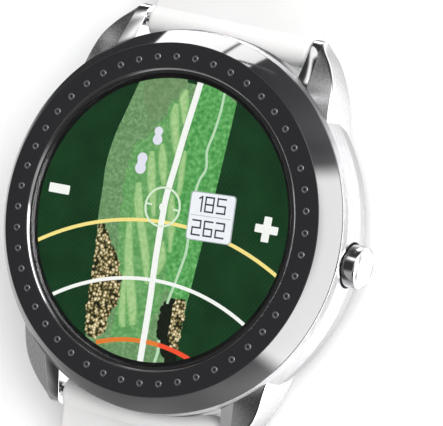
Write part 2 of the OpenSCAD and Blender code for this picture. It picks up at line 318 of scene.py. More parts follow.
def dark_rough_picture(s):
    """Dark green ground with the fine slanting weave of the display's picture."""
    weave = s.wave(0.42, turn=0.5, distortion=1.2)
    patches = s.noise(3.2, detail=5)
    both = s.sum(s.spread(weave, 0.0, 0.30), s.spread(patches, 0.0, 0.75))
    return s.ramp(both, [(0.25, srgb(9, 43, 20)), (0.8, srgb(22, 68, 34))])


def tree_picture(s):
    """Tree crowns from above: pale tan tufts with dark gaps between them."""
    tufts = s.voronoi(0.36)
    bright = s.node("ShaderNodeSeparateColor")
    s.link(tufts.outputs["Color"], bright.inputs["Color"])
    both = s.sum(tufts.outputs["Distance"], s.spread(bright.outputs["Red"], -0.16, 0.22))
    return s.ramp(both, [
        (0.1, srgb(248, 238, 206)), (0.36, srgb(204, 188, 140)), (0.54, srgb(132, 118, 74)),
        (0.7, srgb(60, 60, 34)), (0.88, srgb(20, 26, 12))])


# ---- Mesh helpers ----

def add_piece(name, shape, materials, body, replaces=(), smooth=32, faces_use=None):
    """Makes an object of shape = (points in mm, faces) that rides on a body."""
    points, faces = shape
    mesh = bpy.data.meshes.new(name)
    mesh.from_pydata([Vector(p) * MM for p in points], [], faces)
    mesh.validate()
    for made in materials if isinstance(materials, (list, tuple)) else [materials]:
        mesh.materials.append(made)
    if faces_use:
        for polygon, use in zip(mesh.polygons, faces_use):
            polygon.material_index = use
    piece = bpy.data.objects.new(name, mesh)
    bpy.context.scene.collection.objects.link(piece)
    outward(piece)
    shade(piece, smooth)
    if body:
        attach(piece, body)
    if replaces:
        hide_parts(*replaces)
    return piece


def outward(piece):
    """Turns all faces outwards."""
    work = bmesh.new()
    work.from_mesh(piece.data)
    bmesh.ops.recalc_face_normals(work, faces=work.faces)
    work.to_mesh(piece.data)
    work.free()


def shade(piece, angle):
    """Smooth shading, with sharp edges where faces meet at more than angle degrees."""
    piece.data.polygons.foreach_set("use_smooth", [True] * len(piece.data.polygons))
    piece.data.set_sharp_from_angle(angle=math.radians(angle))


def apply_modifiers(piece):
    """Makes the result of a piece's modifiers its mesh."""
    depsgraph = bpy.context.evaluated_depsgraph_get()
    mesh = bpy.data.meshes.new_from_object(piece.evaluated_get(depsgraph))
    piece.modifiers.clear()
    piece.data = mesh


def bevel(piece, width, segments, angle):
    """Rounds the edges where faces meet at more than angle degrees."""
    made = piece.modifiers.new("bevel", "BEVEL")
    made.width = width * MM
    made.segments = segments
    made.limit_method = "ANGLE"
    made.angle_limit = math.radians(angle)
    apply_modifiers(piece)


def cut(piece, shapes):
    """Cuts closed shapes out of a piece."""
    for number, shape in enumerate(shapes):
        tool = add_piece(f"cutter_{number}", shape, [], None)
        made = piece.modifiers.new("cut", "BOOLEAN")
        made.operation = "DIFFERENCE"
        made.solver = "EXACT"
        made.object = tool
        apply_modifiers(piece)
        bpy.data.objects.remove(tool)


def joined(*shapes):
    """Several shapes as one."""
    points, faces = [], []
    for more_points, more_faces in shapes:
        faces += [[i + len(points) for i in face] for face in more_faces]
        points += list(more_points)
    return points, faces


def moved(shape, matrix):
    """A shape moved by a matrix."""
    return [matrix @ Vector(p) for p in shape[0]], shape[1]


MOST_REACH = 0.49


def rounded(outline, radii, steps=5):
    """A closed 2D outline with its corners rounded; radii is one number or one per corner."""
    count = len(outline)
    if not isinstance(radii, (list, tuple)):
        radii = [radii] * count
    result = []
    for i, radius in enumerate(radii):
        here = Vector(outline[i])
        before = Vector(outline[i - 1]) - here
        after = Vector(outline[(i + 1) % count]) - here
        if radius <= 0:
            result.append(tuple(here))
            continue
        reach = radius / math.tan(before.angle(after) / 2)
        reach = min(reach, MOST_REACH * before.length, MOST_REACH * after.length)
        start = here + before.normalized() * reach
        end = here + after.normalized() * reach
        for step in range(steps + 1):
            t = step / steps
            result.append(tuple((1 - t) ** 2 * start + 2 * t * (1 - t) * here + t * t * end))
    return result


def lathe(profile, steps=192):
    """A closed (radius, z) profile turned round Z; points on the axis become one point."""
    points, rings = [], []
    for radius, z in profile:
        if radius < 1e-6:
            rings.append([len(points)])
            points.append((0, 0, z))
            continue
        rings.append(list(range(len(points), len(points) + steps)))
        for i in range(steps):
            angle = math.tau * i / steps
            points.append((radius * math.cos(angle), radius * math.sin(angle), z))
    faces = []
    for k, ring in enumerate(rings):
        other = rings[(k + 1) % len(rings)]
        if len(ring) == 1 and len(other) == 1:
            continue
        for i in range(steps):
            j = (i + 1) % steps
            face = [ring[i % len(ring)], ring[j % len(ring)], other[j % len(other)], other[i % len(other)]]
            faces.append(list(dict.fromkeys(face)))
    return points, faces


def slab(points):
    """A closed slab; points are its first outline and then the same outline moved."""
    count = len(points) // 2
    walls = [[i, (i + 1) % count, count + (i + 1) % count, count + i] for i in range(count)]
    return points, [list(range(count))[::-1], list(range(count, 2 * count))] + walls


def prism(outline, z0, z1):
    """A flat outline as a closed slab from z0 up to z1."""
    return slab([(x, y, z) for z in (z0, z1) for x, y in outline])


def loft(sections, closed=False):
    """Sections with the same number of points, joined in order, with flat ends."""
    count = len(sections[0])
    points = [p for section in sections for p in section]
    faces = []
    for k in range(len(sections) if closed else len(sections) - 1):
        a, b = k * count, ((k + 1) % len(sections)) * count
        for i in range(count):
            j = (i + 1) % count
            faces.append([a + i, a + j, b + j, b + i])
    if not closed:
        last = (len(sections) - 1) * count
        faces += [list(range(count))[::-1], list(range(last, last + count))]
    return points, faces


def sweep(path, section, up):
    """A 2D section (side, up) carried along an open path that lies in a plane across up."""
    up = Vector(up)
    path = [Vector(p) for p in path]
    sections = []
    for i, point in enumerate(path):
        before = path[max(i - 1, 0)]
        after = path[min(i + 1, len(path) - 1)]
        ahead = (after - before).normalized()
        side = ahead.cross(up).normalized()
        stretch = 1.0
        if 0 < i < len(path) - 1:
            turn = (after - point).normalized().dot((point - before).normalized())
            stretch = 1 / math.sqrt((1 + turn) / 2)
        sections.append([point + side * (x * stretch) + up * y for x, y in section])
    return loft(sections)


def rod_x(profile, y, z):
    """A lathe shape lying along X: profile is (x, radius)."""
    turn = Matrix.Translation((0, y, z)) @ Matrix.Rotation(math.pi / 2, 4, "Y")
    return moved(lathe([(radius, x) for x, radius in profile], 48), turn)


def smooth_curve(controls, count):
    """Points on a smooth curve through control points, evenly by parameter."""
    controls = [Vector(c) for c in controls]
    ends = [2 * controls[0] - controls[1]] + controls + [2 * controls[-1] - controls[-2]]
    result = []
    for i in range(count):
        at = i * (len(controls) - 1) / (count - 1)
        k = min(int(at), len(controls) - 2)
        t = at - k
        a, b, c, d = ends[k:k + 4]
        result.append(0.5 * (2 * b + (c - a) * t + (2 * a - 5 * b + 4 * c - d) * t * t
                             + (3 * b - a - 3 * c + d) * t ** 3))
    return result


def ribbon(points, width):
    """The outline of a line with a width, along 2D points; width may be one per point."""
    points = [Vector(p) for p in points]
    widths = width if isinstance(width, (list, tuple)) else [width] * len(points)
    left, right = [], []
    for i, point in enumerate(points):
        ahead = (points[min(i + 1, len(points) - 1)] - points[max(i - 1, 0)]).normalized()
        side = Vector((-ahead.y, ahead.x)) * (widths[i] / 2)
        left.append(tuple(point + side))
        right.append(tuple(point - side))
    return left + right[::-1]


def rectangle(x0, y0, x1, y1):
    return [(x0, y0), (x1, y0), (x1, y1), (x0, y1)]


def arc_points(centre, radius, first, last, steps):
    """Points round a centre from the first angle to the last, both kept."""
    angles = [first + (last - first) * i / steps for i in range(steps + 1)]
    return [(centre[0] + radius * math.cos(a), centre[1] + radius * math.sin(a)) for a in angles]


def circle(centre, radius, steps=40):
    """A closed outline, without its first point again at the end."""
    return arc_points(centre, radius, 0, math.tau, steps)[:-1]


def inside_circle(outline, radius, steps=120):
    """The part of an outline that lies in a circle round the origin."""
    for k in range(steps):
        angle = math.tau * k / steps
        normal = Vector((math.cos(angle), math.sin(angle)))
        kept = []
        for i, here in enumerate(outline):
            before = outline[i - 1]
            a, b = normal.dot(Vector(before)) - radius, normal.dot(Vector(here)) - radius
            if (a > 0) != (b > 0):
                t = a / (a - b)
                kept.append(tuple(Vector(before).lerp(Vector(here), t)))
            if b <= 0:
                kept.append(tuple(here))
        outline = kept
        if not outline:
            return []
    return outline


# ---- Bezel, trim ring and crystal ----

def make_bezel(ceramic, steel):
    """The black ring with its flat top and its cone, and the steel studs in it."""
    inner, skirt, seat = TRIM_R + 0.02, BEZEL_R - 1.5, TRIM_LOW + 0.1
    profile = rounded([
        (inner, seat), (inner, FACE_Z), (FLAT_R, FACE_Z), (BEZEL_R, CONE_Z), (BEZEL_R, BEZEL_LOW),
        (skirt, BEZEL_LOW), (skirt, seat)],
        [0, 0.08, 0.12, 0.25, 0.08, 0, 0], 6)
    add_piece("bezel_ring", lathe(profile, 384), ceramic, "case", ["bezel"])
    add_piece("pips_steel", joined(*[pip_shape(i) for i in range(PIP_COUNT)]), pip_steel(), "case",
              ["bezel_pips"], smooth=50)


def pip_shape(number):
    """A small steel stud: a round rim just proud of the bezel, and a dished top."""
    low, rim, fillet = FACE_Z - 0.3, FACE_Z + 0.045, 0.12
    dish, dish_top, depth = PIP_R - 0.19, rim - 0.03, 0.12
    profile = [(0, low), (PIP_R, low), (PIP_R, rim - fillet)]
    profile += arc_points((PIP_R - fillet, rim - fillet), fillet, 0.2, 2.2, 5)
    profile += [(dish * math.cos(a), dish_top - depth * math.sin(a))
                for a in [math.pi / 2 * k / 8 for k in range(8)]]
    profile.append((0, dish_top - depth))
    angle = math.pi / 2 + math.tau * number / PIP_COUNT
    place_at = Matrix.Translation((PIP_RING_R * math.cos(angle), PIP_RING_R * math.sin(angle), 0))
    return moved(lathe(profile, 32), place_at)


def make_trim_ring(steel):
    """The polished ring round the crystal, with a narrow bevel on its inner edge."""
    seat, inner, bevel_depth = GLASS_LOW - 0.02, TRIM_R - TRIM_WALL, 0.21
    profile = rounded([
        (TRIM_IN, TRIM_LOW), (TRIM_R, TRIM_LOW), (TRIM_R, FACE_Z), (TRIM_R - 0.06, FACE_Z),
        (inner, FACE_Z - bevel_depth), (inner, seat), (TRIM_IN, seat)],
        [0, 0, 0.03, 0.03, 0.04, 0, 0], 4)
    add_piece("trim_ring_polished", lathe(profile, 384), steel, "case", ["trim_ring"])


def make_crystal(glass, ink, rubber):
    """The glass, the black print under its edge, and the seal round it."""
    chamfer, print_t = 0.06, 0.01
    low, ink_r = GLASS_LOW + 0.012, GLASS_R - 0.02
    profile = [(0, low), (GLASS_R, low), (GLASS_R, GLASS_TOP - chamfer),
               (GLASS_R - chamfer * 0.5, GLASS_TOP - chamfer * 0.36),
               (GLASS_R - chamfer, GLASS_TOP), (0, GLASS_TOP)]
    add_piece("crystal_glass", lathe(profile, 256), glass, "case", ["crystal"])
    border = rectangle(SCREEN_R, GLASS_LOW, ink_r, GLASS_LOW + print_t)
    add_piece("crystal_border", lathe(border, 256), ink, "case", ())
    seal = rounded(rectangle(GLASS_R + 0.01, GLASS_LOW - 0.01, TRIM_R - 0.29, GLASS_TOP - 0.11), 0.03, 3)
    add_piece("crystal_seal", lathe(seal, 256), rubber, "case", ["crystal_gasket"])


# ---- Display picture ----

LAYER = 0.005
PANEL_TOP = GLASS_LOW - 0.09


class Picture:
    """The lit hole map: flat slabs laid on the panel, each a little higher than the last."""

    def __init__(self):
        self.level = 0

    def add(self, name, outlines, material):
        self.level += 1
        top = PANEL_TOP + self.level * LAYER
        kept = [inside_circle(outline, SCREEN_R + 0.1) for outline in outlines]
        shape = joined(*[prism(outline, PANEL_TOP - 0.02, top) for outline in kept if outline])
        add_piece("display_" + name, shape, material, "case", (), smooth=20)


def ring_bands(centre, radius, width, pieces=4, steps=12):
    """A thin ring as bands that meet end to end."""
    share = math.tau / pieces
    return [ribbon(arc_points(centre, radius, share * k, share * (k + 1), steps), width)
            for k in range(pieces)]


def ragged(outline, size, seed):
    """An outline with a broken edge, as tree crowns have."""
    chance = random.Random(seed)
    result = []
    for i, here in enumerate(outline):
        after = Vector(outline[(i + 1) % len(outline)])
        here = Vector(here)
        steps = max(1, int((after - here).length / size))
        for k in range(steps):
            point = here.lerp(after, k / steps)
            result.append((point.x + chance.uniform(-0.5, 0.5) * size,
                           point.y + chance.uniform(-0.5, 0.5) * size))
    return result


SEGMENTS = {"1": "bc", "2": "abged", "5": "afgcd", "6": "afgedc", "8": "abcdefg"}
SEGMENT_ENDS = {"a": ((0, 2), (1, 2)), "b": ((1, 2), (1, 1)), "c": ((1, 1), (1, 0)),
                "d": ((0, 0), (1, 0)), "e": ((0, 1), (0, 0)), "f": ((0, 2), (0, 1)),
                "g": ((0, 1), (1, 1))}


def digit(character, x, y, width, height, stroke):
    """A plain digit drawn with seven-segment strokes that reach into the corners."""
    strokes = []
    for segment in SEGMENTS[character]:
        (x0, y0), (x1, y1) = SEGMENT_ENDS[segment]
        start = Vector((x + x0 * width, y + y0 * height / 2))
        end = Vector((x + x1 * width, y + y1 * height / 2))
        reach = (end - start).normalized() * stroke * 0.5
        strokes.append(ribbon([start - reach, end + reach], stroke))
    if character == "1":
        top = Vector((x + width, y + height))
        strokes.append(ribbon([top, top + Vector((-0.4 * width, -0.16 * height))], stroke))
    return strokes


def curve(points, count=24):
    """A smooth line through 2D points."""
    return [tuple(p) for p in smooth_curve(points, count)]


def tapered(points, widths, grow):
    """A smooth stripe along points whose width follows widths."""
    spread = smooth_curve([(w, 0) for w in widths], 24)
    return ribbon(curve(points), [max(0.12, s.x) + grow for s in spread])


def make_display():
    """The lit panel and the hole map on it."""
    panel = rectangle(0, PANEL_LOW, PANEL_R, PANEL_TOP)
    add_piece("display_ground", lathe(panel), lit("display_rough", dark_rough_picture),
              "case", ["display_panel"])
    picture = Picture()
    make_turf(picture)
    make_stripes(picture)
    make_trees(picture)
    make_bunkers_and_path(picture)
    white = lit_plain("display_white", srgb(252, 255, 250))
    make_arcs(picture, white)
    line = [(1.1, 16.8), (0.83, 13.7), (0.5, 10), (0.3, 6.6), (0.08, 3.7), (0.05, 2), (0.2, -0.4),
            (0.5, -4.3), (0.78, -7), (1.05, -9.6), (1.3, -12.7), (1.58, -16.6)]
    picture.add("centre_line", [ribbon(curve(line, 48), 0.76)], white)
    make_aim(picture, white)
    make_keys(picture, white)
    make_distance_box(picture)


def make_turf(picture):
    """The hole seen from above: a broad band of turf in four greens."""
    left = curve([(-6.6, 16.3), (-7.7, 11.7), (-8.5, 8.3), (-8.8, 5), (-8.5, 1.7), (-8.2, -1.7),
                  (-7.7, -4), (-7.3, -6.3), (-7.1, -9.7), (-6.8, -12.3), (-6.3, -15.2), (-6.0, -17.4)], 44)
    right = curve([(6.2, 16), (6.2, 10), (6.1, 4), (5.95, -2), (5.8, -8), (5.9, -12), (6, -17.4)], 30)
    picture.add("turf", [left + right[::-1]],
                turf("turf", 0.4, (0.3, 92, 134, 86), (0.5, 110, 152, 102), (0.72, 140, 174, 126)))
    olive = [(-5.6, 16.6), (-6.1, 14), (-4.9, 11.6), (-4.4, 10.2), (-3.4, 11.4), (-2.4, 12.6),
             (-1.4, 14.6), (-0.7, 16.6)]
    picture.add("olive_turf", [ragged(olive, 0.5, 7)],
                turf("olive", 0.45, (0.3, 98, 134, 88), (0.7, 126, 160, 112)))
    rich = [(1.2, 16.6), (2.6, 16.4), (3.6, 16.2), (5.1, 15.6), (6.25, 15), (6.2, 6), (6.1, 2), (6, -1.6),
            (5.85, -8.2), (3.6, -8.4), (3, -7.6), (1.2, -6.6), (0.8, -2), (0.8, 3)]
    picture.add("rich_turf", [rich],
                turf("rich", 0.5, (0.28, 60, 136, 66), (0.5, 88, 166, 88), (0.72, 130, 198, 124)))
    middle = [(-1.8, 13.6), (-3.4, 9.6), (-5.6, 7.6), (-6, 4.6), (-5.4, 0), (-4.8, -4.2), (-3.2, -8),
              (-3, -11), (-3.4, -14.2), (-2, -15), (1, -14.4), (2.4, -10), (2.6, -7), (1.4, -3), (0.6, 6),
              (0.6, 14.8)]
    picture.add("middle_turf", [ragged(middle, 0.5, 8)],
                turf("middle", 0.45, (0.28, 84, 146, 82), (0.5, 104, 166, 98), (0.75, 140, 190, 126)))


def make_stripes(picture):
    """Mown stripes of the fairway, each pale in its middle and softer at its edges."""
    stripes = [
        ([(-0.55, 15.3), (-0.6, 14.2), (-0.2, 12.9), (0.1, 11.4)], [0.4, 1.1, 0.8, 0.3]),
        ([(-1.45, 13.5), (-1.3, 12), (-0.8, 10.4), (-0.3, 8.9), (0.1, 7.6)], [0.5, 1.1, 1.0, 0.8, 0.3]),
        ([(-2.1, 8.6), (-1.6, 7), (-1.1, 5.4), (-0.6, 4)], [0.4, 1.0, 0.9, 0.4]),
        ([(-3.2, 7.5), (-2.8, 5.8), (-2.3, 4), (-1.6, 2), (-1.0, 0.2)], [0.5, 1.0, 1.0, 0.8, 0.4]),
        ([(-3.95, 3.6), (-3.4, 1.4), (-2.6, -0.6), (-1.7, -2.6), (-0.7, -5), (0.1, -7.6)],
         [0.6, 1.1, 1.0, 1.0, 0.9, 0.3]),
        ([(-4.0, -0.9), (-3.5, -3.2), (-2.8, -5.8), (-1.9, -8.4), (-1.0, -10.8), (-0.5, -12.6)],
         [0.6, 0.9, 1.1, 1.2, 1.1, 0.7]),
        ([(-3.05, -6.8), (-2.6, -9.6), (-2.1, -12), (-1.6, -13.1)], [0.4, 0.7, 0.8, 0.5]),
        ([(1.1, 8.4), (1.2, 6.4), (1.5, 4.2), (1.55, 3)], [0.3, 0.7, 0.6, 0.3]),
        ([(0.7, 3.1), (1.2, 1), (1.75, -1.3), (2.15, -3.4)], [0.4, 0.9, 0.7, 0.2]),
        ([(0.95, -2.4), (1.35, -4.4), (1.15, -6.2)], [0.3, 0.9, 0.3])]
    picture.add("stripe_edges", [tapered(points, widths, 0.22) for points, widths in stripes],
                turf("stripe_edges", 0.4, (0.3, 118, 176, 104), (0.7, 146, 196, 124)))
    picture.add("stripes", [tapered(points, widths, -0.12) for points, widths in stripes],
                turf("stripes", 0.5, (0.3, 144, 194, 122), (0.7, 182, 216, 154)))


def make_trees(picture):
    """Two clumps of trees, and the shade beside the right one."""
    left = [(-7.9, -2.2), (-7.1, -2.2), (-6.3, -3.2), (-5.3, -4.4), (-4.05, -5.8), (-3.9, -6.9),
            (-3.4, -7.5), (-3.0, -8.8), (-3.1, -10.2), (-3.6, -11.9), (-3.9, -13), (-3.8, -14.3),
            (-4.8, -15.3), (-5.8, -15.4), (-6.6, -14.2), (-7.0, -12), (-7.2, -9.4), (-7.5, -6.6),
            (-7.8, -3.9)]
    right = [(4.2, -8.4), (5.6, -8.3), (5.85, -10), (5.9, -12.2), (6.0, -14), (5.1, -14.3), (4.5, -13.2),
             (4.25, -11)]
    gloom = [(2.9, -9.0), (3.5, -8.5), (4.4, -8.4), (4.6, -11), (4.7, -13.2), (6.0, -14.3), (6.1, -15.4),
             (5, -15.9), (4.0, -14.9), (3.6, -13.9), (2.9, -13.3), (2.7, -11.4), (2.6, -10)]
    picture.add("tree_shade", [ragged(gloom, 0.3, 4)],
                turf("tree_shade", 0.4, (0.3, 8, 14, 8), (0.7, 26, 36, 22)))
    picture.add("tree_crowns", [ragged(left, 0.34, 5), ragged(right, 0.34, 6)],
                lit("display_tree_crowns", tree_picture))


def make_bunkers_and_path(picture):
    picture.add("bunkers", [circle((-2.88, 9.92), 0.54), circle((-2.8, 8.95), 0.62),
                            ribbon([(-2.88, 9.9), (-2.8, 9)], 0.8),
                            circle((-4.2, 6.45), 0.66), circle((-4.17, 5.3), 0.7),
                            ribbon([(-4.2, 6.4), (-4.17, 5.3)], 1.1)],
                lit_plain("display_sand", srgb(232, 234, 246)))
    upper = curve([(4.45, 16), (4.47, 13.7), (4.25, 11.2), (3.9, 9), (4.3, 7), (3.8, 5.5), (3.6, 4)], 36)
    lower = curve([(4.0, -0.6), (4.2, -3), (3.9, -5.5), (3.6, -7.4), (3.32, -9.2)], 24)
    end = curve([(3.35, -13.5), (3.55, -14.8), (3.4, -16.4)], 10)
    picture.add("cart_path", [ribbon(upper, 0.3), ribbon(lower, 0.32), ribbon(end, 0.36)],
                lit_plain("display_path", srgb(190, 226, 188)))


def make_arcs(picture, white):
    """Three distance arcs; the nearest turns from orange to red."""
    centre = (2.8, -32.4)
    near = 18.35

    def arc(radius, x0, x1, width):
        first, last = math.acos((x0 - centre[0]) / radius), math.acos((x1 - centre[0]) / radius)
        return ribbon(arc_points(centre, radius, first, last, 60), width)

    picture.add("yellow_arc", [arc(32.3, -15.6, 16.4, 0.42)],
                lit_plain("display_yellow", srgb(254, 234, 142)))
    picture.add("white_arc", [arc(25.5, -12.0, 13.7, 0.42)], white)
    picture.add("orange_arc", [arc(near, -4.7, 3.4, 0.52)],
                lit_plain("display_orange", srgb(234, 128, 52)))
    picture.add("red_arc", [arc(near, 3.4, 7.8, 0.52)], lit_plain("display_red", srgb(246, 82, 50)))


def make_aim(picture, white):
    """The aiming ring, with a tick at each side and a dot in it."""
    aim = Vector((-0.13, 1.5))
    ticks = [ribbon([(aim.x + side * 2.2, aim.y), (aim.x + side * 1.45, aim.y)], 0.22)
             for side in (-1, 1)]
    picture.add("aim_ring", ring_bands(aim, 2.26, 0.24) + ticks,
                lit_plain("display_aim", srgb(224, 244, 216)))
    picture.add("aim_dot", [circle((-0.08, 1.5), 0.48, 24)], white)


def make_keys(picture, white):
    """The minus and plus at the two sides, leaning a little with the watch."""
    def key(centre, boxes):
        turn = Matrix.Rotation(math.radians(3), 2)
        outlines = []
        for wide, high in boxes:
            box = rounded(rectangle(-wide, -high, wide, high), 0.12, 3)
            outlines.append([tuple(Vector(centre) + turn @ Vector(p)) for p in box])
        return outlines

    picture.add("minus_key", key((-14.2, 0.7), [(1.38, 0.55)]), white)
    picture.add("plus_key", key((13.67, 1.83), [(1.46, 0.47), (0.47, 1.46)]), white)


def make_distance_box(picture):
    """A white label that leans a little, with two generic distances."""
    low_left, low_right = Vector((3.83, -1.33)), Vector((9.5, -0.83))
    top_left = Vector((3.27, 4.07))
    across, up = low_right - low_left, top_left - low_left

    wide, high, rim = 5.7, 5.4, 0.1

    def on_box(outline):
        """An outline in millimetres on the level box, leaned with it."""
        return [tuple(low_left + across * (x / wide) + up * (y / high)) for x, y in outline]

    edge = rounded(rectangle(-rim, -rim, wide + rim, high + rim), 0.5)
    face = rounded(rectangle(0, 0, wide, high), 0.42)
    grey = lit_plain("display_box_edge", srgb(178, 186, 190))
    picture.add("box_edge", [on_box(edge)], grey)
    picture.add("box_face", [on_box(face)], lit_plain("display_box_face", srgb(244, 248, 252)))
    picture.add("box_divider", [on_box(ribbon([(0.15, 2.78), (5.55, 2.78)], 0.07))], grey)
    rows = ((3.3, (("1", 0.40), ("8", 1.93), ("5", 3.5))), (0.54, (("2", 0.6), ("6", 2.15), ("2", 3.7))))
    strokes = []
    for low, characters in rows:
        for character, left in characters:
            strokes += [on_box(s) for s in digit(character, left, low, 1.04, 1.66, 0.19)]
    picture.add("distances", strokes, lit_plain("display_digits", srgb(56, 60, 74)))


# ---- Mid case and lugs ----

LUG_RAILS = [
    [(LUG_IN, 13.5, 2.3), (LUG_IN, 18, 2.6), (LUG_IN, 21.5, 2.75), (LUG_IN, 23.4, 3.05),
     (LUG_IN, 24.1, 3.8), (LUG_IN, 24.35, 4.6)],
    [(LUG_IN, 13.5, 9.3), (LUG_IN, 17.6, 8.95), (LUG_IN, 20.6, 7.8), (LUG_IN, 22.7, 7.0),
     (LUG_IN, 23.95, 6.45), (LUG_IN, 24.38, 5.5)],
    [(13.5, 13.5, 9.8), (13.12, 17, 9.7), (12.94, 18.92, 8.93), (12.66, 21.8, 7.65),
     (12.38, 23.85, 6.7), (12.25, 24.38, 5.6)],
    [(17, 13.5, 9.35), (16.5, 16.4, 9.05), (15.9, 19.25, 8.3), (14.65, 21.5, 7.6),
     (13.05, 23.3, 6.75), (12.5, 24.2, 5.5)],
    [(16.8, 13.5, 2.3), (16.2, 16.4, 2.5), (15.3, 19.2, 2.7), (13.9, 21.8, 2.9),
     (12.6, 23.4, 3.3), (12.3, 24.15, 4.4)]]
LUG_EDGES = [0.25, 0.16, 0.12, 0.3, 0.35]
POLISHED_FACET, BRUSHED_FACET = 0, 1


def lug_shape(side_x, side_y):
    """One lug, lofted along its length; returns the shape and each face's material."""
    count, steps = 30, 4
    rails = [smooth_curve(points, count) for points in LUG_RAILS]
    sections = [rounded([rail[i] for rail in rails], LUG_EDGES, steps) for i in range(count)]
    points, faces = loft(sections)
    points = [(side_x * p[0], side_y * p[1], p[2]) for p in points]
    facets = [POLISHED_FACET, POLISHED_FACET, BRUSHED_FACET, BRUSHED_FACET, BRUSHED_FACET]
    round_uses = [use for facet in facets for use in [POLISHED_FACET] * steps + [facet]]
    uses = round_uses * (count - 1) + [BRUSHED_FACET, POLISHED_FACET]
    return (points, faces), uses


def make_mid_case(polished, brushed, turned):
    """The turned case wall, cut out for the strap ends and the button, and its four lugs."""
    low, top = 1.9, BEZEL_LOW - 0.03
    body_profile = rounded([
        (CASE_IN, low), (CASE_R - 1.4, low), (CASE_R - 0.4, 3.6), (CASE_R, 6), (CASE_R, 9.2),
        (CASE_R - 0.3, top), (CASE_IN, top)],
        [0, 0.35, 1.4, 1.6, 0.3, 0.15, 0], 6)
    body = add_piece("mid_case_body", lathe(body_profile, 288), turned, "case", ["mid_case"])
    pocket = rounded_pocket()
    cut(body, [pocket, moved(pocket, Matrix.Rotation(math.pi, 4, "Z")), button_well()])
    shade(body, 30)
    shapes, uses = [], []
    for side_x in (1, -1):
        for side_y in (1, -1):
            shape, use = lug_shape(side_x, side_y)
            shapes.append(shape)
            uses += use
    lugs = add_piece("mid_case_lugs", joined(*shapes), [polished, brushed], "case", (),
                     faces_use=uses)
    shade(lugs, 28)


def rounded_pocket():
    """Room between two lugs for the strap's end, round at its top."""
    radius = 2.35
    outline = arc_points((BAR_Y, BAR_Z), radius, 0, math.pi, 16)
    outline += [(BAR_Y - radius, -1), (BAR_Y + radius, -1)]
    return slab([(x, y, z) for x in (-LUG_IN, LUG_IN) for y, z in outline])


def rod(x0, x1, radius, y, z):
    """A plain round rod along X, used as a cutter."""
    return rod_x([(x0, 0), (x0, radius), (x1, radius), (x1, 0)], y, z)


def button_well():
    return rod(CASE_R - 1.8, CASE_R + 1, 2.72, 0, BUTTON_Z)


def make_button(steel, brushed):
    """The button's head, with a shallow dish in its end, and its stem into the case."""
    low, tip, radius = CASE_R - 0.5, BUTTON_TIP, BUTTON_R
    profile = rounded([(low, 0), (low, radius), (tip - 0.35, radius), (tip - 0.02, radius - 0.55),
                       (tip - 0.12, radius - 0.75), (tip, 0)],
                      [0, 0.1, 0.3, 0.12, 0.1, 0], 4)
    add_piece("button_head", rod_x(profile, 0, BUTTON_Z), steel, "button", ["button"],
              smooth=40)
    stem_end, stem_r, stem_edge = 17.75, 1.1, 0.1
    stem = [(stem_end, 0), (stem_end, stem_r - stem_edge), (stem_end + stem_edge, stem_r),
            (low + 0.1, stem_r), (low + 0.1, 0)]
    add_piece("button_stem", rod_x(stem, 0, BUTTON_Z), brushed, "button", ())


# ---- Strap ----

SETTLE = 16.0
TAPER_FROM = 6
TAPER_L = 24
STRAP_EDGE = 0.6
TUBE_R = 1.9
END_TUBE_R = 1.7
HALF_T = STRAP_T / 2
FIRST_HOLE = 48
HOLE_STEP = 6
HOLE_COUNT = 10


def strap_middle(u, z_end):
    """Height of the strap's middle at distance u: it settles from the spring bar to z_end."""
    return z_end + (BAR_Z - z_end) * (1 + math.cos(math.pi * min(max(u, 0) / SETTLE, 1))) / 2


def strap_half_width(u, length, round_tip):
    """Half the strap's width at distance u: it narrows to the tail, and the tip may be round."""
    t = min(max((u - TAPER_FROM) / TAPER_L, 0), 1)
    half = STRAP_W / 2 + (TAIL_W - STRAP_W) / 2 * t
    if round_tip and u > length - half:
        half *= math.sqrt(max(0.0, 1 - ((u - length + half) / half) ** 2))
    return half


def strap_levels(u, length, z_end, end_tube):
    """Lowest and highest point of the strap at distance u from its spring bar."""
    middle = strap_middle(u, z_end)
    low, high = middle - HALF_T, middle + HALF_T
    if u < TUBE_R:
        lift = math.sqrt(max(0.0, TUBE_R**2 - u * u))
        if u < 0:
            return BAR_Z - lift, BAR_Z + lift
        low, high = min(low, BAR_Z - lift), max(high, BAR_Z + lift)
    if end_tube and u > length - END_TUBE_R:
        lift = math.sqrt(max(0.0, END_TUBE_R**2 - (u - length) ** 2))
        if u > length:
            return z_end - lift, z_end + lift
        low, high = min(low, z_end - lift), max(high, z_end + lift)
    return low, high


def strap_section(half_width, low, high):
    """A flat section with well rounded sides, in (x, z)."""
    edge = min(STRAP_EDGE, half_width * 0.9, (high - low) * 0.45)
    return rounded(rectangle(-half_width, low, half_width, high), edge)


def strap_stations(length, end_tube):
    """Distances along the strap, closer together at the round ends."""
    near = [TUBE_R * -math.cos(math.pi * k / 20) for k in range(11)]
    near += [0.35, 0.7, 1.05, 1.4, 1.65, 1.9, 2.4, 3.0]
    far_start = length - TAIL_W / 2 - 0.2
    count = 60
    body = [3.8 + (far_start - 3.8) * k / count for k in range(count + 1)]
    if end_tube:
        plain = [far_start + (length - END_TUBE_R - far_start) * k / 8 for k in range(1, 9)]
        tip = [length - END_TUBE_R * math.cos(math.pi * k / 16) for k in range(1, 17)]
        return near + body + plain + tip
    half = TAIL_W / 2
    tip = [length - half + half * math.sin(math.pi / 2 * k / 20) for k in range(21)]
    return near + body + tip


def strap_shape(length, z_end, end_tube, side):
    """One strap half, along +Y or -Y by side."""
    sections = []
    for u in strap_stations(length, end_tube):
        low, high = strap_levels(u, length, z_end, end_tube)
        if high - low < 0.02:
            low, high = low - 0.01, high + 0.01
        half = max(0.05, strap_half_width(u, length, not end_tube))
        sections.append([(x, side * (BAR_Y + u), z) for x, z in strap_section(half, low, high)])
    return loft(sections)


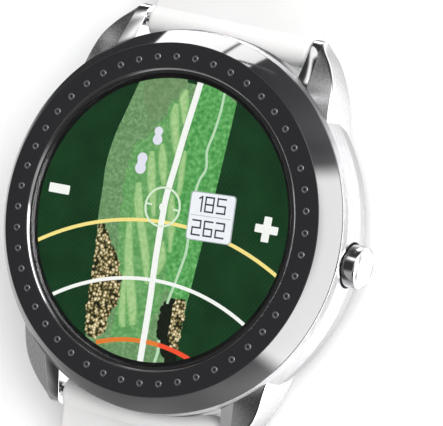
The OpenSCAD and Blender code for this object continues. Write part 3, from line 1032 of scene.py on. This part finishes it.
def flared_hole(u, side):
    """A cutter for one strap hole, flared at both faces."""
    r, top = 1.15, STRAP_T
    profile = [(0, -1), (r + 1.2, -1), (r + 0.2, 0), (r + 0.05, 0.12), (r, 0.3), (r, top - 0.3),
               (r + 0.05, top - 0.12), (r + 0.2, top), (r + 1.2, top + 1), (0, top + 1)]
    return moved(lathe(profile, 40), Matrix.Translation((0, side * (BAR_Y + u), 0)))


def box_shape(low, high):
    """A box from its low corner to its high one."""
    return prism(rectangle(low[0], low[1], high[0], high[1]), low[2], high[2])


def make_strap(rubber):
    """Both strap halves, with their holes and slots cut out."""
    short = add_piece("strap_buckle_half", strap_shape(SHORT_L, SHORT_Z, True, 1), rubber, "strap_12",
                      ["strap_12"], smooth=40)
    tongue_slot = box_shape((-1.35, BUCKLE_Y - 2.6, -1), (1.35, BUCKLE_Y + 4, 6))
    cut(short, [tongue_slot, lever_slot(1), bar_hole(BAR_Y, BAR_Z, 0.93), bar_hole(BUCKLE_Y, SHORT_Z, 0.8)])
    shade(short, 25)
    long = add_piece("strap_hole_half", strap_shape(LONG_L, LONG_Z, False, -1), rubber, "strap_6",
                     ["strap_6"], smooth=40)
    holes = joined(*[flared_hole(FIRST_HOLE + HOLE_STEP * i, -1) for i in range(HOLE_COUNT)])
    cut(long, [holes, lever_slot(-1), bar_hole(-BAR_Y, BAR_Z, 0.93)])
    shade(long, 25)


def bar_hole(y, z, radius):
    """A hole along X, right through."""
    return rod(-15, 15, radius, y, z)


def lever_slot(side):
    """Room under the spring bar for the quick-release lever and its travel."""
    y = side * BAR_Y
    return box_shape((4.35, y - 0.95, 0), (7.55, y + 0.95, BAR_Z))


def keeper_shape(node):
    """A loop of soft square section with rounded edges, as large as its CAD node."""
    low, high = corner(node, 0), corner(node, 1)
    wall, width = 1.3, high.y - low.y
    floor_wall = low.z + (1.5 if node == "keeper_fixed" else 1.2)
    middle_y = (low.y + high.y) / 2
    outer = rounded(rectangle(low.x, low.z, high.x, high.z), 1.5, 7)
    inner = rounded(rectangle(low.x + wall, floor_wall, high.x - wall, high.z - wall), 0.35, 7)
    sections = []
    for (ox, oz), (ix, iz) in zip(outer, inner):
        out, into = Vector((ox, oz)), Vector((ix, iz))
        across = (out - into).length
        toward = (into - out) / across
        ring = []
        for x, y in rounded(rectangle(0, -width / 2, across, width / 2), 0.45, 4):
            point = out + toward * x
            ring.append((point.x, middle_y + y, point.y))
        sections.append(ring)
    return loft(sections, closed=True)


def make_keepers(rubber):
    for node, body in (("keeper_fixed", "strap_12"), ("keeper_free", "keeper_free")):
        add_piece("strap_" + node, keeper_shape(node), rubber, body, [node], smooth=45)


# ---- Buckle ----

def buckle_path():
    """Centre line of the buckle's U, from one arm's end round to the other."""
    arm_x, length, bend = corner("buckle_frame", 1).x - LOOP_HALF_X, LOOP_L - 1.3, 2.2
    path = [(-arm_x, y) for y in (-0.6, 0.8, 2.4, 4.2, 6.0)]
    path += arc_points((bend - arm_x, length - bend), bend, math.pi, math.pi / 2, 8)
    path += [(x, length) for x in (-6, -3, 0)]
    mirrored = [(-x, y) for x, y in reversed(path[:-1])]
    return path + mirrored


def make_buckle(brushed, polished):
    """The buckle's frame, drilled for its bar and grooved for the tongue, and the tongue."""
    section = rounded(rectangle(-LOOP_HALF_X, -LOOP_HALF_Z, LOOP_HALF_X, LOOP_HALF_Z), 0.38, 4)
    path = [(x, BUCKLE_Y + y, SHORT_Z) for x, y in buckle_path()]
    frame_piece = add_piece("buckle_loop", sweep(path, section, (0, 0, 1)), brushed, "buckle",
                            ["buckle_frame"], smooth=40)
    front = BUCKLE_Y + LOOP_L
    cut(frame_piece, [bar_hole(BUCKLE_Y, SHORT_Z, 0.45),
                      rounded_groove(front - 4, front + 1, SHORT_Z + LOOP_HALF_Z)])
    bevel(frame_piece, 0.06, 2, 50)
    shade(frame_piece, 40)
    make_tongue(polished)


def rounded_groove(y0, y1, top):
    """A shallow round-bottomed groove across the front bar, where the tongue lies."""
    half, depth = 1.2, 0.5
    outline = [(half, 1), (-half, 1)]
    outline += [(-half * math.cos(a), -depth * math.sin(a)) for a in [math.pi * k / 12 for k in range(13)]]
    return slab([(x, y, top + z) for y in (y0, y1) for x, z in outline])


def make_tongue(steel):
    """The tongue: a sleeve round the buckle bar and a curved blade that thins to its tip."""
    sleeve = rounded([(-1, 0.8), (-1, 1.42), (1, 1.42), (1, 0.8)], 0.12, 4)
    middle = smooth_curve([(0, 0.95), (3, 1.0), (6, 1.12), (8.6, 1.32), (10.2, 1.18), (10.95, 0.98)], 24)
    sections = []
    for i, point in enumerate(middle):
        share = i / (len(middle) - 1)
        half_x = 1.0 - 0.22 * share
        half_z = 0.56 - 0.1 * share
        if share > 0.93:
            half_x *= 0.86
            half_z *= 0.8
        ring = rounded(rectangle(-half_x, -half_z, half_x, half_z), 0.3, 4)
        sections.append([(x, BUCKLE_Y + point.x, SHORT_Z + point.y + z) for x, z in ring])
    shape = joined(rod_x(sleeve, BUCKLE_Y, SHORT_Z), loft(sections))
    add_piece("buckle_prong", shape, steel, "tongue", ["buckle_tongue"], smooth=40)


# ---- Springs ----

def coil_shape(low, high, wire, turns, steps=30, sides=10):
    """A round wire wound along X through the box from low to high."""
    middle = (low + high) / 2
    radius = (high.y - low.y) / 2 - wire
    advance = (high.x - low.x - 2 * wire) / (turns * steps)
    ring = circle((0, 0), wire, sides)
    sections = []
    for i in range(turns * steps + 1):
        across = Vector((0, math.cos(math.tau * i / steps), math.sin(math.tau * i / steps)))
        centre = Vector((low.x + wire + advance * i, middle.y, middle.z)) + across * radius
        sections.append([centre + across * out + Vector((along, 0, 0)) for out, along in ring])
    return loft(sections)


def make_spring(name, node, steel, body, wire, turns):
    """A coil wound through its CAD node's box, riding on a body, with a mesh of its own."""
    low, high = corner(node, 0), corner(node, 1)
    piece = add_piece(name, coil_shape(low, high, wire, turns), steel, body, [node], smooth=60)
    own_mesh(piece)


def make_springs(steel):
    make_spring("button_coil", "button_spring", steel, "case", 0.15, 3)
    for end in ("12", "6"):
        make_spring("release_coil_" + end, "release_spring_" + end, steel, "strap_" + end,
                    0.09, 7)


# ---- CAD nodes that stay, with better materials ----

def finish_nodes(finishes):
    """Gives each named CAD node its material."""
    for node, finish in finishes.items():
        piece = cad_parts[node]
        piece.data.materials.clear()
        piece.data.materials.append(finish)


# ---- Stage, lights and camera ----

def make_floor():
    """A pale floor, just under the case back, that can be seen through from below."""
    s = Surface("floor", Roughness=0.9)
    s.mottle(s.noise(60), (0.93, 0.93, 0.93, 1), (0.95, 0.95, 0.95, 1))
    clear = s.node("ShaderNodeBsdfTransparent")
    sides = s.node("ShaderNodeMixShader")
    s.link(s.node("ShaderNodeNewGeometry").outputs["Backfacing"], sides.inputs["Fac"])
    s.link(s.shader.outputs["BSDF"], sides.inputs[1])
    s.link(clear.outputs["BSDF"], sides.inputs[2])
    s.link(sides.outputs["Shader"], s.tree.nodes["Material Output"].inputs["Surface"])
    half, z = 3000, -0.05
    corners = [(x, y, z) for x, y in rectangle(-half, -half, half, half)]
    floor = add_piece("floor", (corners, [[0, 1, 2, 3]]), s.material, None)
    floor.visible_glossy = False
    floor.visible_shadow = False


class Studio:
    """The light around the watch: a dim room with soft bright cards, by direction."""

    def __init__(self, room):
        world = bpy.data.worlds.new("studio")
        world.use_nodes = True
        bpy.context.scene.world = world
        self.tree = world.node_tree
        self.background = self.tree.nodes["Background"]
        self.background.inputs["Color"].default_value = (1, 1, 1, 1)
        self.place = self.tree.nodes.new("ShaderNodeTexCoord").outputs["Generated"]
        self.total = self.ramp_along((0, 0, 1), -0.12, 0.10, room[0], room[1])

    def math(self, operation, first, second):
        made = self.tree.nodes.new("ShaderNodeMath")
        made.operation = operation
        for socket, value in zip(made.inputs, (first, second)):
            if isinstance(value, float):
                socket.default_value = value
            else:
                self.tree.links.new(value, socket)
        return made.outputs[0]

    def ramp_along(self, axis, start, end, low, high, absolute=False):
        """A smooth step from low to high as the direction's part along axis goes from start to end."""
        dot = self.tree.nodes.new("ShaderNodeVectorMath")
        dot.operation = "DOT_PRODUCT"
        dot.inputs[1].default_value = axis
        self.tree.links.new(self.place, dot.inputs[0])
        value = dot.outputs["Value"]
        if absolute:
            value = self.math("ABSOLUTE", value, 0.0)
        step = self.tree.nodes.new("ShaderNodeMapRange")
        step.interpolation_type = "SMOOTHSTEP"
        for socket, number in (("From Min", start), ("From Max", end), ("To Min", low), ("To Max", high)):
            step.inputs[socket].default_value = number
        self.tree.links.new(value, step.inputs["Value"])
        return step.outputs["Result"]

    def card(self, azimuth, elevation, half_wide, half_high, strength, soft=0.04):
        """A bright card; angles in degrees, azimuth from X towards Y."""
        a, e = math.radians(azimuth), math.radians(elevation)
        ahead = Vector((math.cos(a) * math.cos(e), math.sin(a) * math.cos(e), math.sin(e)))
        side = Vector((-math.sin(a), math.cos(a), 0))
        wide, high = math.sin(math.radians(half_wide)), math.sin(math.radians(half_high))
        across = self.ramp_along(side, wide + soft, wide - soft, 0.0, 1.0, True)
        up = self.ramp_along(ahead.cross(side), high + soft, high - soft, 0.0, 1.0, True)
        front = self.ramp_along(ahead, 0.0, 0.1, 0.0, float(strength))
        shape = self.math("MULTIPLY", self.math("MULTIPLY", across, up), front)
        self.total = self.math("ADD", self.total, shape)

    def shade(self, axis, inner, outer, share):
        """Dims the room round a direction to a share of its light."""
        axis = Vector(axis).normalized()
        start, end = math.cos(math.radians(outer)), math.cos(math.radians(inner))
        dim = self.ramp_along(axis, start, end, 1.0, share)
        self.total = self.math("MULTIPLY", self.total, dim)

    def finish(self):
        self.tree.links.new(self.total, self.background.inputs["Strength"])


def area_light(name, place_at, target, size, power):
    """A soft light that is seen neither directly nor in reflections."""
    lamp = bpy.data.lights.new(name, "AREA")
    lamp.shape = "RECTANGLE"
    lamp.size, lamp.size_y = size
    lamp.energy = power
    made = bpy.data.objects.new(name, lamp)
    made.location = place_at
    made.rotation_euler = (Vector(target) - Vector(place_at)).to_track_quat("-Z", "Y").to_euler()
    made.visible_camera = False
    made.visible_glossy = False
    bpy.context.scene.collection.objects.link(made)


def make_lights():
    """Soft lights from above, and the room whose cards show in the steel, ceramic and glass."""
    middle = (0, 0, 0.01)
    area_light("key_right", (0.38, 0.15, 0.58), middle, (0.6, 0.6), 3.4)
    area_light("top_back", (-0.1, 0.5, 0.60), middle, (0.7, 0.5), 1.6)
    area_light("front_fill", (0.1, -0.6, 0.45), middle, (0.7, 0.5), 1.3)
    studio = Studio((0.8, 0.45))
    studio.shade((-0.76, 0.35, -0.545), 15, 27, 0.05)
    studio.shade((-0.46, 0.0, -0.89), 6, 12, 0.4)
    studio.shade((-0.40, -0.87, -0.30), 20, 40, 0.6)
    studio.shade((0.31, 0.95, -0.08), 22, 32, 0.05)
    studio.shade((0.35, -0.75, 0.55), 24, 40, 0.12)
    studio.card(108, 47, 14, 9, 1.5, 0.08)
    studio.shade((-0.74, 0.60, 0.30), 12, 25, 0.10)
    studio.card(145.5, 25, 3.5, 4.5, 1.3, 0.02)
    studio.shade((-0.20, 0.88, 0.42), 18, 28, 0.12)
    studio.card(39, 41, 24, 10, 2.6, 0.03)
    studio.card(-8, 3, 46, 8, 7.0, 0.06)
    studio.card(-2, -55, 60, 28, 1.0, 0.20)
    studio.shade((-0.47, -0.02, 0.88), 14, 34, 0.10)
    studio.card(123.0, -21.5, 12.5, 11, 6.0, 0.012)
    studio.card(102.7, -16, 5.6, 10, 6.0, 0.012)
    studio.finish()


def make_camera():
    """A long lens, tilted towards 3 o'clock and rolled a little."""
    tilt, toward, roll = math.radians(27.98), math.radians(2.84), math.radians(13.08)
    distance = 365.6
    aim = Vector((7.9, 2.46, FACE_Z))
    back = Vector((math.sin(tilt) * math.cos(toward), math.sin(tilt) * math.sin(toward), math.cos(tilt)))
    right = Vector((0, 1, 0)).cross(back).normalized()
    up = back.cross(right)
    cos, sin = math.cos(roll), math.sin(roll)
    right, up = right * cos + up * sin, up * cos - right * sin
    camera = bpy.data.cameras.new("camera")
    camera.lens = 260.05
    camera.sensor_width = 36
    camera.clip_start = 0.01
    made = bpy.data.objects.new("camera", camera)
    turn = Matrix((right, up, back)).transposed().to_4x4()
    made.matrix_world = Matrix.Translation((aim + back * distance) * MM) @ turn
    bpy.context.scene.collection.objects.link(made)
    bpy.context.scene.camera = made


# ---- Build ----

CERAMIC = black_ceramic()
POLISHED = polished_steel()
BRUSHED = brushed_steel("brushed_steel", (1, 0.04, 1))
TURNED = brushed_steel("turned_steel", (0.12, 0.12, 1))
SILICONE = silicone()
RUBBER = seal_rubber()

make_camera()
make_floor()
make_lights()
make_bezel(CERAMIC, POLISHED)
make_trim_ring(POLISHED)
make_crystal(clear_glass(), black_print(), RUBBER)
make_display()
make_mid_case(POLISHED, BRUSHED, TURNED)
make_button(POLISHED, BRUSHED)
make_strap(SILICONE)
make_keepers(SILICONE)
make_buckle(BRUSHED, POLISHED)
make_springs(POLISHED)

# The strap and buckle stay out of reflections, so that they don't block the room's cards.
for unseen in ("strap_buckle_half", "strap_hole_half", "strap_keeper_fixed", "strap_keeper_free",
               "buckle_loop", "buckle_prong"):
    bpy.data.objects[unseen].visible_glossy = False

DARK_PLASTIC = plastic("frame_plastic", (0.02, 0.02, 0.022, 1), (0.035, 0.035, 0.04, 1))
CAN = brushed_steel("can_metal", (1, 0.2, 1))
finish_nodes({
    "case_back": back_polymer(), "charge_contacts": gold(), "case_back_gasket": RUBBER,
    "case_back_screws": POLISHED, "button_seal": RUBBER, "button_clip": CAN,
    "button_switch": DARK_PLASTIC, "display_frame": DARK_PLASTIC, "shield_cans": CAN,
    "vibration_motor": CAN, "spring_bar_12": POLISHED, "spring_bar_6": POLISHED,
    "release_pin_12": POLISHED, "release_pin_6": POLISHED, "buckle_bar": POLISHED,
    "display_flex": plastic("flex_film", (0.42, 0.2, 0.04, 1), (0.5, 0.26, 0.06, 1), (0.25, 0.35)),
    "main_board": plastic("board_mask", (0.01, 0.12, 0.05, 1), (0.02, 0.16, 0.07, 1), (0.25, 0.4)),
    "gps_antenna": plastic("antenna_ceramic", (0.55, 0.48, 0.34, 1), (0.64, 0.56, 0.41, 1)),
    "battery": plastic("battery_foil", (0.5, 0.52, 0.55, 1), (0.6, 0.62, 0.65, 1), (0.2, 0.32), 0.8),
    "battery_pad": plastic("foam", (0.02, 0.02, 0.02, 1), (0.04, 0.04, 0.04, 1), (0.8, 0.95))})

bpy.context.scene.view_settings.view_transform = "Standard"
